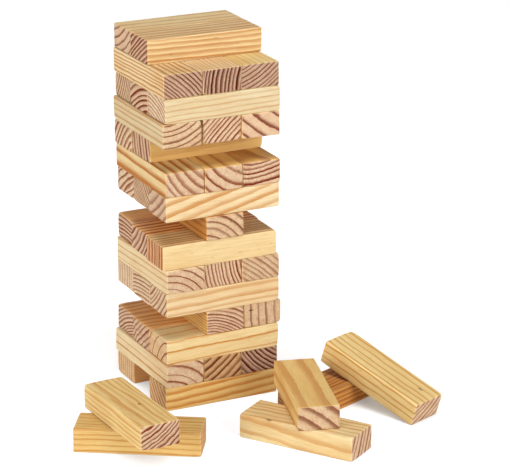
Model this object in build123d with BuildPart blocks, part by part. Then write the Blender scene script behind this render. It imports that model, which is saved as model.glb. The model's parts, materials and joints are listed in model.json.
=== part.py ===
from build123d import *
import os
from math import cos, radians, sin

# Giant tumbling tower, a lawn game of 45 equal softwood blocks, part-way through play.
# 39 blocks still stand in 15 crossed layers and 6 lie fallen on the ground in front.
# Axes: +X to the right along the tower's front, +Y to the back, +Z up.
# Origin: on the ground, at the centre of the outline of the tower and its fallen blocks.

os.makedirs("parts", exist_ok=True)

# Driving dimensions, in millimetres and degrees
BLOCK_LENGTH = 190.0
BLOCK_WIDTH = 63.0
BLOCK_HEIGHT = 38.0
EDGE_RADIUS = 2.0  # every edge is eased by sanding
SEAM = 0.05  # air left between one course and the next, as planed faces only touch in places
TOWER_X = 4.0  # the tower's own axis, from the origin
TOWER_Y = 145.0
LEAN_TILT = 17.7  # slope of the fallen block that leans on another
LEAN_GAP = 0.2  # clearance where its underside crosses the other block's edge

# Three blocks side by side fill one block length, with a small gap between them
PITCH = (BLOCK_LENGTH - BLOCK_WIDTH) / 2
COURSE_RISE = BLOCK_HEIGHT + SEAM

# Odd layers run along X and even layers along Y. The number is how many pitches a block
# stands from the middle of its layer, to the left of the way it runs.
PLACES = {
    "x": {"front": -1, "middle": 0, "back": 1},
    "y": {"left": 1, "middle": 0, "right": -1},
}

# The tower from the ground up: each layer's twist in degrees, then the blocks that are
# still in it. A block's three numbers are its nudge along its length, its nudge to the
# left of the way it runs, and its own turn in degrees.
LAYERS = [
    (0.0, {"front": (-3.5, 0, -0.3), "back": (-2, 0, 0.3)}),
    (0.0, {"left": (-1, 3.6, 1.2), "middle": (0, 1.5, 0), "right": (2, 1.5, 0)}),
    (0.2, {"front": (-1, 0, 0), "middle": (-2, 0, 0), "back": (0, 0, 0)}),
    (0.4, {"middle": (0, -3, 0), "right": (1, -3, 0)}),
    (-0.3, {"front": (0, 0, 0), "middle": (-1, 0, 0), "back": (1, 0, 0)}),
    (0.2, {"left": (-2, 0, 0), "middle": (1, 0, 0), "right": (0, 0, 0)}),
    (-0.4, {"front": (-5, 0, 0), "middle": (-2, 0, 0), "back": (3, 0, 0)}),
    (0.0, {"middle": (-2, -1.5, 0.7)}),
    (0.2, {"front": (0, 0, 0), "middle": (3, 0, 0), "back": (4, 0, 0)}),
    (-0.2, {"left": (1, -2, 0), "middle": (-1, -2, 0), "right": (0, -2, 0)}),
    (0.4, {"middle": (3, 0, 0), "back": (0, 0, 0)}),
    (0.0, {"left": (-1, 2.2, -0.5), "middle": (1, 0, 0), "right": (-1, 0, 0)}),
    (0.1, {"front": (1, 0, 0), "middle": (0, 0, 0), "back": (3, 0, 0)}),
    (-0.3, {"left": (0, 0, 0), "middle": (-1, 0, 0), "right": (1, 0, 0)}),
    (0.3, {"middle": (1, -1, 0), "back": (2, 0, 0)}),
]

# Fallen blocks that lie flat: the centre from the tower's axis, which course of the heap
# the block lies on, and the heading of its length in degrees from +X
FALLEN = {
    "loose_left_lower_block": (-186, -196, 0, -32),
    "loose_left_upper_block": (-201, -199, 1, -87),
    "loose_front_block": (40, -291, 0, -56),
    "loose_back_block": (152, -168, 0, 22),
    "loose_bridge_block": (64, -247, 1, -106),
}
LEAN_ON = "loose_back_block"
LEAN_SHIFT = 35.0  # where the leaning block crosses it, along its length from its middle


def flat_plane(x, y, z, heading):
    """The plane under a level block, with its x axis along the block."""
    turn = radians(heading)
    return Plane(
        origin=(TOWER_X + x, TOWER_Y + y, z),
        x_dir=(cos(turn), sin(turn), 0),
        z_dir=(0, 0, 1),
    )


def tower_plane(number, place):
    """The plane under a block of the tower. Layer 1 is on the ground."""
    twist, blocks = LAYERS[number - 1]
    along, left, turn = blocks[place]
    left += PLACES["x" if number % 2 else "y"][place] * PITCH
    z = (number - 1) * COURSE_RISE
    if number % 2:
        return flat_plane(along, left, z, twist + turn)
    return flat_plane(-left, along, z, 90 + twist + turn)


def leaning_plane():
    """The plane under the block that leans, square to the one that holds it up.

    The rounded lower edge of its near end touches the ground, and its underside passes
    LEAN_GAP above the rounded top edge of the other block's front.
    """
    x, y, _, heading = FALLEN[LEAN_ON]
    tilt = radians(LEAN_TILT)
    rounding = EDGE_RADIUS
    # level distance between the centres of the two rounded edges
    between = (BLOCK_HEIGHT - 2 * rounding) * cos(tilt) + 2 * rounding + LEAN_GAP
    between /= sin(tilt)
    # the square corner that the near end's lower edge is rounded from
    corner_out = between + rounding * (cos(tilt) - sin(tilt)) - rounding
    corner_down = rounding * (sin(tilt) + cos(tilt)) - rounding
    under = flat_plane(x, y, 0, heading)
    corner = under.from_local_coords((LEAN_SHIFT, -BLOCK_WIDTH / 2 - corner_out, -corner_down))
    up_slope = under.y_dir * cos(tilt) + under.z_dir * sin(tilt)
    square_to_it = under.z_dir * cos(tilt) - under.y_dir * sin(tilt)
    return Plane(origin=corner + up_slope * (BLOCK_LENGTH / 2), x_dir=up_slope, z_dir=square_to_it)


def make_block(name, plane):
    """Make one block on its plane and write it to its file."""
    with BuildPart() as block:
        with BuildSketch(plane):
            Rectangle(BLOCK_LENGTH, BLOCK_WIDTH)
        extrude(amount=BLOCK_HEIGHT)
        fillet(block.edges(), radius=EDGE_RADIUS)
    block.part.label = name
    export_step(block.part, f"parts/{name}.step")


for number, (_, blocks) in enumerate(LAYERS, start=1):
    for place in blocks:
        make_block(f"layer_{number:02d}_{place}_block", tower_plane(number, place))

for name, (x, y, course, heading) in FALLEN.items():
    make_block(name, flat_plane(x, y, course * COURSE_RISE, heading))

make_block("loose_leaning_block", leaning_plane())
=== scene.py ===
import json
from math import cos, radians, sin

import bpy
import numpy as np
from mathutils import Matrix, Vector

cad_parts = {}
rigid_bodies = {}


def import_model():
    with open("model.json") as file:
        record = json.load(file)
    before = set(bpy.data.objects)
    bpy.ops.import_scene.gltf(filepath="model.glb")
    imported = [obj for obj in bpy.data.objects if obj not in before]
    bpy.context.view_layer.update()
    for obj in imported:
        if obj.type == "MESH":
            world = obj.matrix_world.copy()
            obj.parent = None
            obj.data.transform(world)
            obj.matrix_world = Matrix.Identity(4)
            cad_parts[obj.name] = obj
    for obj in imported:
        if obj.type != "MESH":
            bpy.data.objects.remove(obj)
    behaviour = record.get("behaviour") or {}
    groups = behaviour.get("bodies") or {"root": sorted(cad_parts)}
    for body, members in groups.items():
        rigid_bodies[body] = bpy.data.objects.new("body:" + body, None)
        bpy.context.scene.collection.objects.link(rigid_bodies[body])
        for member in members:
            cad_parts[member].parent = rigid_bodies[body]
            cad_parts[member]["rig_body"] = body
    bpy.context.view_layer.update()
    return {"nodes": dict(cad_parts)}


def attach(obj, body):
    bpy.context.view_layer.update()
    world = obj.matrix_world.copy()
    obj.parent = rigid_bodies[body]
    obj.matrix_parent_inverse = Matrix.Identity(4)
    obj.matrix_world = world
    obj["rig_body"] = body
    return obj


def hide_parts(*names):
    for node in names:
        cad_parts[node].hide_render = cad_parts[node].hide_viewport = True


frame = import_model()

# Giant tumbling tower. Every block of the frame is replaced by its own mesh of a sanded
# pine block: uneven eased edges, a few dents, and growth rings that run right through
# the wood, so that the lines on the ends and on the long faces belong together.
# Lengths inside a block are in millimetres, with x along it, y across it and z up.

MM = 0.001

# ---------------------------------------------------------------- growth rings by block
# Each block is sawn from its own place in a tree. Seen from the end that faces the front
# or the left, the values are:
# pith: where the tree's centre is from the middle of the end, to the right and up
# ring: the mean width of a growth ring
# late: how much of each ring is dark late wood, from 0 to 1
# wood: the family of tones, and sides: the family of the long faces where it differs; the russet, amber
# and umber families paint shade onto faces that sit in shade
# ends, faces: how dark the late wood is on the ends, 1 by default, and on the long
# faces, FACE_LINES by default
# wave: how far the rings waver, 1 by default
# drift: how far the rings climb and shift to the right over half of the length, a
# small random drift by default

BLOCKS = {
    "layer_15_middle_block": dict(
        pith=(168, -249), ring=7.2, late=0.54, wood="red", sides="tan", faces=0.8, ends=1.12
    ),
    "layer_15_back_block": dict(
        pith=(-54, 84), ring=14, late=0.26, wood="red", sides="tan", ends=0.85
    ),
    "layer_14_left_block": dict(
        pith=(-114, -126), ring=6.0, late=0.38, wood="plum", sides="pale", faces=1.2
    ),
    "layer_14_middle_block": dict(
        pith=(148, -26), ring=6.5, late=0.54, wood="plum", faces=0.5, ends=1.1
    ),
    "layer_14_right_block": dict(
        pith=(-80, 127), ring=5.8, late=0.32, wood="plum", sides="golden", faces=0.5
    ),
    "layer_13_back_block": dict(pith=(-180, 88), ring=6.0, late=0.34, wood="tan"),
    "layer_13_middle_block": dict(pith=(65, -146), ring=9.6, late=0.42, wood="red", ends=1.1),
    "layer_13_front_block": dict(
        pith=(-34, -84), ring=7.0, late=0.24, wood="pale", sides="cream", faces=0.5, ends=1.1
    ),
    "layer_12_left_block": dict(
        pith=(-30, 85), ring=9.5, late=0.28, wood="tan", sides="cream", faces=0.75, ends=1.0
    ),
    "layer_12_middle_block": dict(pith=(174, -180), ring=7.0, late=0.36, wood="red", ends=1.08),
    "layer_12_right_block": dict(pith=(88, 121), ring=17, late=0.27, wood="red", ends=0.98),
    "layer_11_back_block": dict(pith=(92, -78), ring=9.0, late=0.44, wood="pale", ends=1.08),
    "layer_11_middle_block": dict(
        pith=(196, 42), ring=10.5, late=0.46, wood="red", sides="brown", faces=0.3, ends=0.9
    ),
    "layer_10_left_block": dict(
        pith=(67, 60), ring=11.5, late=0.40, wood="rose", sides="tan", faces=1.1, ends=0.8
    ),
    "layer_10_middle_block": dict(
        pith=(48, 64), ring=14, late=0.28, wood="rose", sides="brown", faces=0.9
    ),
    "layer_10_right_block": dict(
        pith=(-12, 126), ring=8.6, late=0.42, wood="red", sides="brown", wave=2.0, faces=0.8
    ),
    "layer_09_back_block": dict(
        pith=(106, -170), ring=8.5, late=0.44, wood="pale", wave=5.0, ends=1.2
    ),
    "layer_09_middle_block": dict(pith=(149, 134), ring=5.8, late=0.34, wood="tan"),
    "layer_09_front_block": dict(
        pith=(-110, 180), ring=12, late=0.40, wood="rose", sides="pale", drift=(24, 0), wave=2.2,
        faces=0.8, ends=0.72,
    ),
    "layer_08_middle_block": dict(
        pith=(-35, -50), ring=11, late=0.30, wood="tan", sides="amber", ends=0.9
    ),
    "layer_07_back_block": dict(
        pith=(3, -200), ring=6.2, late=0.46, wood="red", sides="russet", drift=(0, 9)
    ),
    "layer_07_middle_block": dict(
        pith=(-89, 80), ring=9, late=0.44, wood="red", sides="russet", faces=1.1, ends=0.95
    ),
    "layer_07_front_block": dict(
        pith=(-257, 9), ring=9, late=0.42, wood="russet", sides="tan", drift=(0, 0), faces=0.9
    ),
    "layer_06_left_block": dict(
        pith=(-31, -63), ring=11, late=0.20, wood="rose", sides="pale", faces=0.8
    ),
    "layer_06_middle_block": dict(pith=(126, 31), ring=6.6, late=0.38, wood="red"),
    "layer_06_right_block": dict(pith=(-189, -233), ring=8, late=0.40, wood="tan", ends=0.68),
    "layer_05_back_block": dict(
        pith=(-200, 7), ring=8, late=0.30, wood="pale", sides="tan", ends=0.7
    ),
    "layer_05_middle_block": dict(pith=(20, -200), ring=7.2, late=0.36, wood="pale", ends=1.1),
    "layer_05_front_block": dict(
        pith=(-111, 115), ring=7.5, late=0.38, wood="pale", wave=0.6, faces=0.6, ends=1.06
    ),
    "layer_04_middle_block": dict(
        pith=(-35, -83), ring=5.6, late=0.42, wood="red", sides="brown", ends=0.9
    ),
    "layer_04_right_block": dict(
        pith=(200, 14), ring=13, late=0.24, wood="tan", ends=0.72, wave=0.7
    ),
    "layer_03_back_block": dict(pith=(61, -130), ring=5.8, late=0.40, wood="red", sides="russet"),
    "layer_03_middle_block": dict(
        pith=(129, -153), ring=7.5, late=0.36, wood="red", sides="russet", wave=3.0, ends=0.9
    ),
    "layer_03_front_block": dict(
        pith=(44, -34), ring=14, late=0.15, wood="golden", sides="straw", faces=0.9, ends=1.0
    ),
    "layer_02_left_block": dict(
        pith=(-30, -63), ring=13, late=0.20, wood="rose", sides="pale", faces=0.9
    ),
    "layer_02_middle_block": dict(pith=(-123, 158), ring=11, late=0.42, wood="brown"),
    "layer_02_right_block": dict(pith=(74, 82), ring=6.4, late=0.48, wood="plum", faces=0.9),
    "layer_01_back_block": dict(
        pith=(-200, 7), ring=7, late=0.32, wood="golden", sides="umber", faces=0.8, ends=0.7
    ),
    "layer_01_front_block": dict(
        pith=(141, 141), ring=8.0, late=0.40, wood="honey", drift=(6, 0), faces=1.0, ends=0.72
    ),
    "loose_left_lower_block": dict(pith=(-110, -140), ring=5.6, late=0.28, wood="honey", faces=0.7),
    "loose_left_upper_block": dict(
        pith=(-86, 123), ring=6.8, late=0.42, wood="red", sides="golden", wave=2.5, ends=1.12
    ),
    "loose_front_block": dict(
        pith=(-150, 70), ring=11, late=0.32, wood="red", sides="straw", wave=1.6, ends=0.82
    ),
    "loose_back_block": dict(pith=(-90, -110), ring=5.8, late=0.40, wood="amber", faces=0.8),
    "loose_bridge_block": dict(
        pith=(-92, -118), ring=17, late=0.36, wood="tan", sides="honey", ends=0.9
    ),
    "loose_leaning_block": dict(
        pith=(-125, 125), ring=9.5, late=0.24, wood="red", sides="golden", faces=0.85, wave=1.6
    ),
}

# Small dark resin streaks: where they are along, across and up from the middle of the
# block, then their reach each way
STREAKS = {
    "loose_leaning_block": [(-68, -8, 19, 5, 1.6, 4)],
    "loose_front_block": [(45, 30, 19, 6, 1.6, 4)],
    "loose_left_upper_block": [(-15, -6, 19, 4, 1.8, 4)],
    "layer_04_right_block": [(-95, 20, 9, 4, 4.5, 1.4)],
    "layer_10_middle_block": [(-95, -24, 9, 4, 1.4, 1.4)],
}


def tone(red, green, blue):
    """A display colour, 0 to 255, as the linear colour that the shader takes."""
    channels = [c / 255 for c in (red, green, blue)]
    linear = [c / 12.92 if c <= 0.04045 else ((c + 0.055) / 1.055) ** 2.4 for c in channels]
    return (*linear, 1.0)


# early and late wood on the long faces, then early and late wood on the ends
WOODS = {
    "pale": (tone(227, 206, 165), tone(193, 130, 55), tone(228, 205, 171), tone(150, 88, 54)),
    "cream": (tone(214, 198, 161), tone(184, 122, 52), tone(228, 205, 171), tone(150, 88, 54)),
    "golden": (tone(230, 205, 145), tone(202, 136, 50), tone(226, 196, 152), tone(146, 74, 40)),
    "straw": (tone(229, 207, 156), tone(198, 133, 52), tone(226, 198, 156), tone(146, 78, 42)),
    "honey": (tone(223, 190, 123), tone(190, 121, 45), tone(222, 184, 134), tone(136, 72, 36)),
    "red": (tone(231, 206, 156), tone(184, 111, 42), tone(220, 191, 158), tone(124, 50, 28)),
    "plum": (tone(235, 211, 164), tone(184, 108, 38), tone(195, 162, 135), tone(84, 30, 20)),
    "rose": (tone(232, 209, 162), tone(193, 127, 56), tone(216, 190, 158), tone(140, 70, 40)),
    "tan": (tone(226, 201, 150), tone(182, 113, 46), tone(216, 188, 152), tone(128, 70, 40)),
    "brown": (tone(221, 182, 113), tone(166, 97, 38), tone(205, 166, 119), tone(106, 58, 32)),
    # russet, amber and umber are darker, more orange tones that paint shade: russet on the long faces of
    # the layer 3 and layer 7 back and middle blocks, whose tops lie in shade; amber on the shaded left
    # face of the layer 8 block and on the loose block behind the leaning one; umber on the inner side of
    # the gap in the bottom layer
    "russet": (tone(242, 190, 124), tone(174, 92, 42), tone(224, 175, 128), tone(136, 62, 34)),
    "amber": (tone(198, 141, 75), tone(132, 70, 28), tone(189, 146, 100), tone(100, 54, 28)),
    "umber": (tone(200, 144, 90), tone(140, 80, 42), tone(189, 146, 100), tone(100, 54, 28)),
}


# ---------------------------------------------------------------- the shape of a block
EDGE = 1.5  # usual radius of an eased edge
SHARPEST = 1.2  # its least radius
CORNER_WEAR = 3.2  # how much rounder than its edges a corner can be knocked
CORNER_REACH = 9.0  # how far along the edges that spreads
HALFWAY = 0.414  # tan 22.5 degrees: mesh lines here divide an eased edge evenly
GRID = 2.6  # size of the mesh's cells
HALF_LENGTH = 95.0  # of a block
RELIEF = 0.10  # how far the soft early wood is sanded below the hard late wood
UNEVEN = 0.05  # how far the faces are sanded out of true
DENT_SIZES = (1.8, 4.0)
DENT_DEPTHS = (0.15, 0.5)
BROAD_WAVER = (140, 70, 70)  # lengths over which the rings wander slowly
FINE_WAVER = (45, 16, 16)  # lengths over which they ripple


def placed_like(node):
    """Where a frame block is: its matrix, with x along the block, and its half sizes in mm.

    x points away from the end that faces the front or the left.
    """
    mesh = node.data
    faces = sorted(mesh.polygons, key=lambda face: face.area, reverse=True)
    up = faces[0].normal.copy()
    if up.z < 0:
        up.negate()
    side = next(face.normal for face in faces if abs(face.normal.dot(up)) < 0.01)
    along = side.cross(up).normalized()
    if along.x + along.y < 0:
        along.negate()
    across = up.cross(along).normalized()
    points = np.array([v.co for v in mesh.vertices])
    axes = np.array([along, across, up])
    reach = points @ axes.T
    low, high = reach.min(0), reach.max(0)
    middle = Vector(((low + high) / 2) @ axes)
    turn = Matrix(axes.T.tolist()).to_4x4()
    return Matrix.Translation(middle) @ turn, (high - low) / 2 / MM


def lines_of_grid(half):
    """Mesh lines along one side of the box, closer together over the eased edges."""
    flat = half - EDGE
    count = max(2, round(2 * flat / GRID))
    middle = np.linspace(-flat, flat, count + 1)
    eased = [flat + EDGE * HALFWAY, half]
    return np.concatenate([[-x for x in reversed(eased)], middle, eased])


def box_surface(half):
    """Points and four-sided faces of a closed box, gridded on all six sides."""
    lines = [lines_of_grid(h) for h in half]
    points, quads = [], []
    start = 0
    for axis in range(3):
        first, second = (axis + 1) % 3, (axis + 2) % 3
        a, b = np.meshgrid(lines[first], lines[second], indexing="ij")
        rows, columns = a.shape
        index = np.arange(rows * columns).reshape(rows, columns)
        around = [index[:-1, :-1], index[1:, :-1], index[1:, 1:], index[:-1, 1:]]
        for sign in (-1, 1):
            sheet = np.empty((rows * columns, 3))
            sheet[:, first] = a.ravel()
            sheet[:, second] = b.ravel()
            sheet[:, axis] = sign * half[axis]
            order = around if sign > 0 else around[::-1]
            quads.append(np.stack([corner.ravel() for corner in order], 1) + start)
            points.append(sheet)
            start += len(sheet)
    points = np.concatenate(points)
    _, keep, where = np.unique(points.round(4), axis=0, return_index=True, return_inverse=True)
    return points[keep], where.ravel()[np.concatenate(quads)]


def waver(points, draw, length, directions=5):
    """A smooth random field, mostly between -1 and 1, that changes over the given lengths."""
    total = np.zeros(len(points))
    for _ in range(directions):
        way = draw.normal(size=3)
        way /= np.linalg.norm(way)
        turns = (points / np.array(length)) @ way * 2 * np.pi * draw.uniform(0.6, 1.4)
        total += np.sin(turns + draw.uniform(0, 2 * np.pi))
    return total / np.sqrt(directions / 2) / 1.6


def ring_count(points, recipe, draw):
    """How many growth rings lie between the pith and each point, as a running number."""
    right, up = recipe["pith"]
    rise, shift = recipe.get("drift", (draw.uniform(-3, 3), draw.uniform(-3, 3)))
    wave = recipe.get("wave", 1.0)
    x, y, z = points.T
    share = x / HALF_LENGTH
    bend = draw.uniform(-1.5, 1.5) * share**2
    # seen from the end that faces the front or the left, right is -y
    away_right = -y - right - shift * share + wave * 0.6 * waver(points, draw, BROAD_WAVER)
    away_up = z - up - rise * share - bend + wave * 0.6 * waver(points, draw, BROAD_WAVER)
    radius = np.hypot(away_right, away_up) + wave * 0.25 * waver(points, draw, FINE_WAVER)
    # no two rings are equally wide
    steps = recipe["ring"] * draw.uniform(0.7, 1.3, 200)
    edges = np.concatenate([[0], np.cumsum(steps)])
    return np.interp(radius, edges, np.arange(len(edges)))


def late_wood(rings, late):
    """0 in the soft early wood of each ring, 1 in the hard late wood, and 0 again at its end."""
    part = rings % 1
    return np.clip((part - 1 + 1.4 * late) / late, 0, 1) * np.clip((1 - part) / 0.08, 0, 1)


def block_shape(half, recipe, draw):
    """Points and faces of one sanded block, with what its material needs at each point."""
    half = np.array(half)
    sharp, quads = box_surface(half)
    # the radius of the eased edges varies along them, and some corners are knocked rounder
    radius = EDGE * (1.1 + 0.3 * waver(sharp, draw, (70, 40, 30)))
    for corner in np.array(np.meshgrid(*[(-1, 1)] * 3)).T.reshape(-1, 3):
        distance = np.linalg.norm(sharp - corner * half, axis=1)
        radius += draw.uniform(0.2, 1) ** 3 * CORNER_WEAR * np.exp(-((distance / CORNER_REACH) ** 2))
    radius = np.maximum(radius, SHARPEST)[:, None]
    inner = np.clip(sharp, radius - half, half - radius)
    outward = sharp - inner
    outward /= np.linalg.norm(outward, axis=1)[:, None]
    points = inner + outward * radius
    rings = ring_count(points, recipe, draw)
    # nearly all of this cuts inwards, so that a block swells by less than UNEVEN anywhere
    sunk = RELIEF * (1 - late_wood(rings, recipe["late"]))
    sunk += UNEVEN * (1 + waver(points, draw, (60, 25, 25)))
    for _ in range(draw.integers(3, 7)):
        spot = points[draw.integers(len(points))]
        away = np.linalg.norm(points - spot, axis=1) / draw.uniform(*DENT_SIZES)
        sunk += draw.uniform(*DENT_DEPTHS) * np.exp(-(away**2))
    facing = np.abs(outward)
    end = np.clip((facing[:, 0] - 0.55) / 0.3, 0, 1)
    edge = 1 - np.clip((facing.max(1) - 0.72) / 0.26, 0, 1)
    return points - outward * sunk[:, None], quads, {"ring": rings, "end_grain": end, "edge_wear_and_highlight": edge}


# ---------------------------------------------------------------- the pine material
GLOSS = 0.06  # bare sanded wood hardly shines
FACE_LINES = 0.65  # how dark the late wood usually is on the long faces
CLOUD_TONE = tone(236, 198, 141)
STREAK_TONE = tone(207, 161, 101)
FLECK_TONE = tone(140, 84, 44)
PORE_TONE = tone(190, 132, 88)
PATCH_TONE = tone(214, 168, 126)
GRIT_TONE = tone(186, 132, 92)
# paler edge tone: partly sanding wear, partly a painted highlight on the rounded edges
WORN_AND_HIGHLIGHT_TONE = tone(248, 222, 170)
RESIN_TONE = tone(84, 52, 34)


class Graph:
    """Short ways to add and link shader nodes."""

    def __init__(self, material):
        material.use_nodes = True
        self.tree = material.node_tree
        self.tree.nodes.clear()

    def node(self, kind, inputs=None, **settings):
        made = self.tree.nodes.new("ShaderNode" + kind)
        for name, value in settings.items():
            setattr(made, name, value)
        for name, value in (inputs or {}).items():
            if isinstance(value, bpy.types.NodeSocket):
                self.tree.links.new(value, made.inputs[name])
            else:
                made.inputs[name].default_value = value
        return made

    def math(self, operation, *values, clamp=False):
        inputs = dict(enumerate(values))
        return self.node("Math", inputs, operation=operation, use_clamp=clamp).outputs[0]

    def attribute(self, name):
        return self.node("Attribute", attribute_name=name).outputs["Fac"]

    def noise(self, where, stretch, detail, roughness, shift):
        placed = self.node("Mapping", {"Vector": where, "Location": shift, "Scale": stretch})
        made = self.node(
            "TexNoise",
            {"Vector": placed.outputs[0], "Scale": 1.0, "Detail": detail, "Roughness": roughness},
        )
        return made.outputs["Fac"]

    def between(self, value, low, high, to_low=0.0, to_high=1.0):
        inputs = {"Value": value, "From Min": low, "From Max": high, "To Min": to_low, "To Max": to_high}
        return self.node("MapRange", inputs, clamp=True).outputs[0]

    def mix(self, share, first, second, how="MIX"):
        made = self.node("Mix", data_type="RGBA", blend_type=how)
        for socket, value in ((0, share), (6, first), (7, second)):
            if isinstance(value, bpy.types.NodeSocket):
                self.tree.links.new(value, made.inputs[socket])
            else:
                made.inputs[socket].default_value = value
        return made.outputs[2]

    def curve(self, value, points):
        made = self.node("FloatCurve", {"Value": value})
        line = made.mapping.curves[0]
        while len(line.points) < len(points):
            line.points.new(0.5, 0.5)
        for point, (x, y) in zip(line.points, points):
            point.location = (x, y)
        made.mapping.update()
        return made.outputs[0]


def pine(name, recipe, streaks, draw):
    """Sanded pine: ring lines, fibre streaks, resin flecks, rough ends, and paler edges from wear with a
    painted highlight.
    """
    material = bpy.data.materials.new(name)
    graph = Graph(material)
    early_end, late_end = WOODS[recipe["wood"]][2:]
    early, late = WOODS[recipe.get("sides", recipe["wood"])][:2]
    where = graph.node("TexCoord").outputs["Object"]
    shift = tuple(draw.uniform(-50, 50, 3))
    end = graph.attribute("end_grain")

    # ring lines, with small breaks in their edges, each ring a little different in strength
    broad = graph.noise(where, (18, 60, 60), 3, 0.6, shift)
    fine = graph.noise(where, (60, 900, 900), 2, 0.6, shift)
    rings = graph.math("MULTIPLY_ADD", broad, 0.25, graph.attribute("ring"))
    rings = graph.math("MULTIPLY_ADD", fine, 0.12, rings)
    part = graph.math("FRACT", rings)
    # through a ring: a soft step from the last dark line, then pale, then dark to its end
    dark = recipe["late"]
    rise = [(1 - 1.5 * dark, 0.05), (1 - 0.85 * dark, 0.7), (1 - 0.45 * dark, 1)]
    line = graph.curve(part, [(0, 0.5), (0.05, 0.03), *rise, (1, 1)])
    number = graph.math("FLOOR", rings)
    luck = graph.node("TexWhiteNoise", {"W": number}, noise_dimensions="1D").outputs["Value"]
    luck = graph.between(luck, 0, 1, 0.7, 1.05)
    line = graph.math("MULTIPLY", line, luck)
    face_line = graph.math("MULTIPLY", line, recipe.get("faces", FACE_LINES), clamp=True)
    end_line = graph.math("MULTIPLY", line, recipe.get("ends", 1.0), clamp=True)

    # long faces: pale wood, warmer lines, clouds of tone and fine streaks along the fibres
    streak = graph.noise(where, (25, 700, 700), 5, 0.7, shift)
    cloud = graph.noise(where, (9, 22, 22), 3, 0.55, shift)
    face = graph.mix(face_line, early, late)
    face = graph.mix(graph.between(cloud, 0.40, 0.75, 0, 0.4), face, CLOUD_TONE, "MULTIPLY")
    face = graph.mix(graph.between(streak, 0.44, 0.72, 0, 0.38), face, STREAK_TONE, "MULTIPLY")
    fleck = graph.noise(where, (70, 700, 700), 1, 0.5, shift)
    face = graph.mix(graph.between(fleck, 0.73, 0.79, 0, 0.6), face, FLECK_TONE)

    # ends: redder lines, open pores and blotches
    pores = graph.noise(where, (1, 2600, 2600), 2, 0.7, shift)
    patch = graph.noise(where, (1, 70, 70), 4, 0.6, shift)
    cut = graph.mix(end_line, early_end, late_end)
    cut = graph.mix(graph.between(pores, 0.45, 0.75, 0, 0.4), cut, PORE_TONE, "MULTIPLY")
    cut = graph.mix(graph.between(patch, 0.42, 0.7, 0, 0.3), cut, PATCH_TONE, "MULTIPLY")
    grit = graph.noise(where, (1, 480, 480), 3, 0.7, shift)
    cut = graph.mix(graph.between(grit, 0.46, 0.66, 0, 0.45), cut, GRIT_TONE, "MULTIPLY")
    colour = graph.mix(end, face, cut)

    # edges: paler, unevenly, partly from sanding wear and partly a painted highlight where the rounded
    # edges catch the light
    wear_and_highlight = graph.math("MULTIPLY", graph.attribute("edge_wear_and_highlight"), graph.between(broad, 0.3, 0.7, 0.15, 0.6))
    wear_and_highlight = graph.math("MULTIPLY", wear_and_highlight, graph.between(end, 0, 1, 1, 0.2))
    colour = graph.mix(wear_and_highlight, colour, WORN_AND_HIGHLIGHT_TONE)

    # resin streaks and small knots
    for *middle, long, wide, high in streaks:
        away = graph.node(
            "VectorMath", {0: where, 1: [m * MM for m in middle]}, operation="SUBTRACT"
        ).outputs[0]
        away = graph.node(
            "VectorMath", {0: away, 1: [1 / (r * MM) for r in (long, wide, high)]}, operation="MULTIPLY"
        ).outputs[0]
        away = graph.node("VectorMath", {0: away}, operation="LENGTH").outputs["Value"]
        away = graph.math("MULTIPLY_ADD", fine, 0.8, away)
        colour = graph.mix(graph.between(away, 0.9, 1.6, 0.85, 0), colour, RESIN_TONE)

    fibre_height = graph.math("MULTIPLY_ADD", streak, 0.5, graph.math("MULTIPLY", line, 0.6))
    end_height = graph.math("MULTIPLY_ADD", pores, 1.2, graph.math("MULTIPLY", line, 0.8))
    height = graph.node("Mix", {0: end, 2: fibre_height, 3: end_height}).outputs[0]
    bump = graph.node("Bump", {"Strength": 0.55, "Distance": 0.00025, "Height": height})
    rough = graph.node("Mix", {0: end, 2: graph.between(line, 0, 1, 0.62, 0.50), 3: 0.82}).outputs[0]
    shader = graph.node(
        "BsdfPrincipled",
        {"Base Color": colour, "Roughness": rough, "Normal": bump.outputs[0], "Specular IOR Level": GLOSS},
    )
    graph.node("OutputMaterial", {"Surface": shader.outputs[0]})
    return material


def build_block(name, seed):
    """Replace one block of the frame by a detailed one that rides on the same body."""
    draw = np.random.default_rng(seed)
    node = frame["nodes"][name]
    matrix, half = placed_like(node)
    recipe = BLOCKS[name]
    points, quads, values = block_shape(half, recipe, draw)
    mesh = bpy.data.meshes.new("pine_" + name)
    mesh.from_pydata((points * MM).tolist(), [], quads.tolist())
    for key, numbers in values.items():
        attribute = mesh.attributes.new(key, "FLOAT", "POINT")
        attribute.data.foreach_set("value", numbers.astype(np.float32))
    mesh.polygons.foreach_set("use_smooth", [True] * len(mesh.polygons))
    mesh.materials.append(pine("pine_" + name, recipe, STREAKS.get(name, []), draw))
    mesh.update()
    block = bpy.data.objects.new("pine_" + name, mesh)
    bpy.context.scene.collection.objects.link(block)
    block.matrix_world = matrix
    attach(block, node["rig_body"])
    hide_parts(name)


for seed, name in enumerate(sorted(frame["nodes"])):
    build_block(name, seed)


# ---------------------------------------------------------------- floor, light and camera
def add_floor():
    """A plain pale floor that reaches past every view."""
    size = 60.0
    mesh = bpy.data.meshes.new("floor")
    corners = [(-size, -size, 0), (size, -size, 0), (size, size, 0), (-size, size, 0)]
    mesh.from_pydata(corners, [], [(0, 1, 2, 3)])
    floor = bpy.data.objects.new("floor", mesh)
    bpy.context.scene.collection.objects.link(floor)
    material = bpy.data.materials.new("pale_floor")
    graph = Graph(material)
    matt = graph.node("BsdfDiffuse", {"Color": (0.48, 0.48, 0.48, 1), "Roughness": 1.0})
    # the floor glows softly, a painted light, and glows less where a block stands close over it, a painted
    # contact shadow
    open_air = graph.node("AmbientOcclusion", {"Distance": 0.07}, samples=8).outputs["AO"]
    glow = graph.between(open_air, 0.05, 0.5, 0.1, 0.68)
    glow = graph.node("Emission", {"Color": (1, 1, 1, 1), "Strength": glow})
    both = graph.node("AddShader", {0: matt.outputs[0], 1: glow.outputs[0]})
    graph.node("OutputMaterial", {"Surface": both.outputs[0]})
    mesh.materials.append(material)


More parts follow.
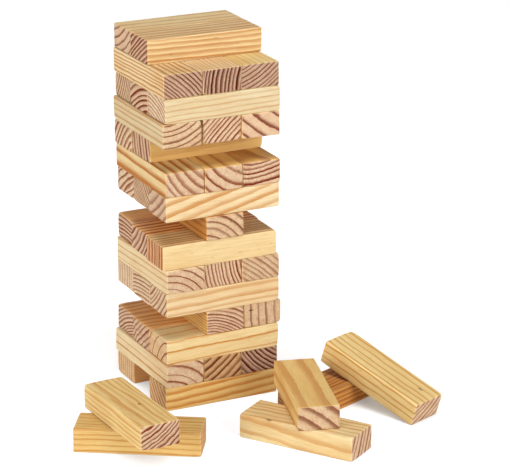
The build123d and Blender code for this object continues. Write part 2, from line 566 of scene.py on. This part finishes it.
def add_softbox(name, place, aim, size, power, colour=(1, 1, 1)):
    """A large soft light that the camera doesn't see."""
    light = bpy.data.lights.new(name, "AREA")
    light.shape = "DISK"
    light.size = size
    light.energy = power
    light.color = colour
    box = bpy.data.objects.new(name, light)
    bpy.context.scene.collection.objects.link(box)
    box.location = place
    box.rotation_mode = "QUATERNION"
    box.rotation_quaternion = (Vector(aim) - Vector(place)).to_track_quat("-Z", "Y")
    box.visible_camera = False


def add_camera():
    """A long lens at the height and side that the tower is seen from."""
    azimuth, elevation = radians(-26.3), radians(18.8)
    aim = Vector((0.078, 0.093, 0.243))
    distance = 3.709
    back = Vector((sin(azimuth) * cos(elevation), -cos(azimuth) * cos(elevation), sin(elevation)))
    data = bpy.data.cameras.new("camera")
    data.sensor_width = 36.0
    data.lens = 169.7
    camera = bpy.data.objects.new("camera", data)
    bpy.context.scene.collection.objects.link(camera)
    camera.location = aim + back * distance
    camera.rotation_mode = "QUATERNION"
    camera.rotation_quaternion = (-back).to_track_quat("-Z", "Y")
    data.clip_end = 200
    bpy.context.scene.camera = camera


world = bpy.data.worlds.new("studio")
bpy.context.scene.world = world
sky = Graph(world)
height = sky.node("SeparateXYZ", {0: sky.node("TexCoord").outputs["Generated"]}).outputs["Z"]
# as pale as the far floor at the horizon, and dim overhead
haze = sky.between(height, 0.10, 0.35, 0.7, 0.06)
background = sky.node("Background", {"Color": (1, 1, 1, 1), "Strength": haze})
sky.node("OutputWorld", {"Surface": background.outputs[0]})
bpy.context.scene.view_settings.view_transform = "Standard"

add_floor()
CENTRE = (0, 0, 0.25)
DAYLIGHT = (0.98, 0.99, 1.0)
add_softbox("key", (0.9, -3.2, 1.4), CENTRE, 1.9, 69, DAYLIGHT)
add_softbox("fill", (-3.2, -0.9, 1.2), CENTRE, 1.7, 63, DAYLIGHT)
add_softbox("top", (-0.2, -0.7, 3.2), CENTRE, 1.6, 51, DAYLIGHT)
add_softbox("back", (1.5, 3.0, 1.6), CENTRE, 2.0, 12)
add_camera()
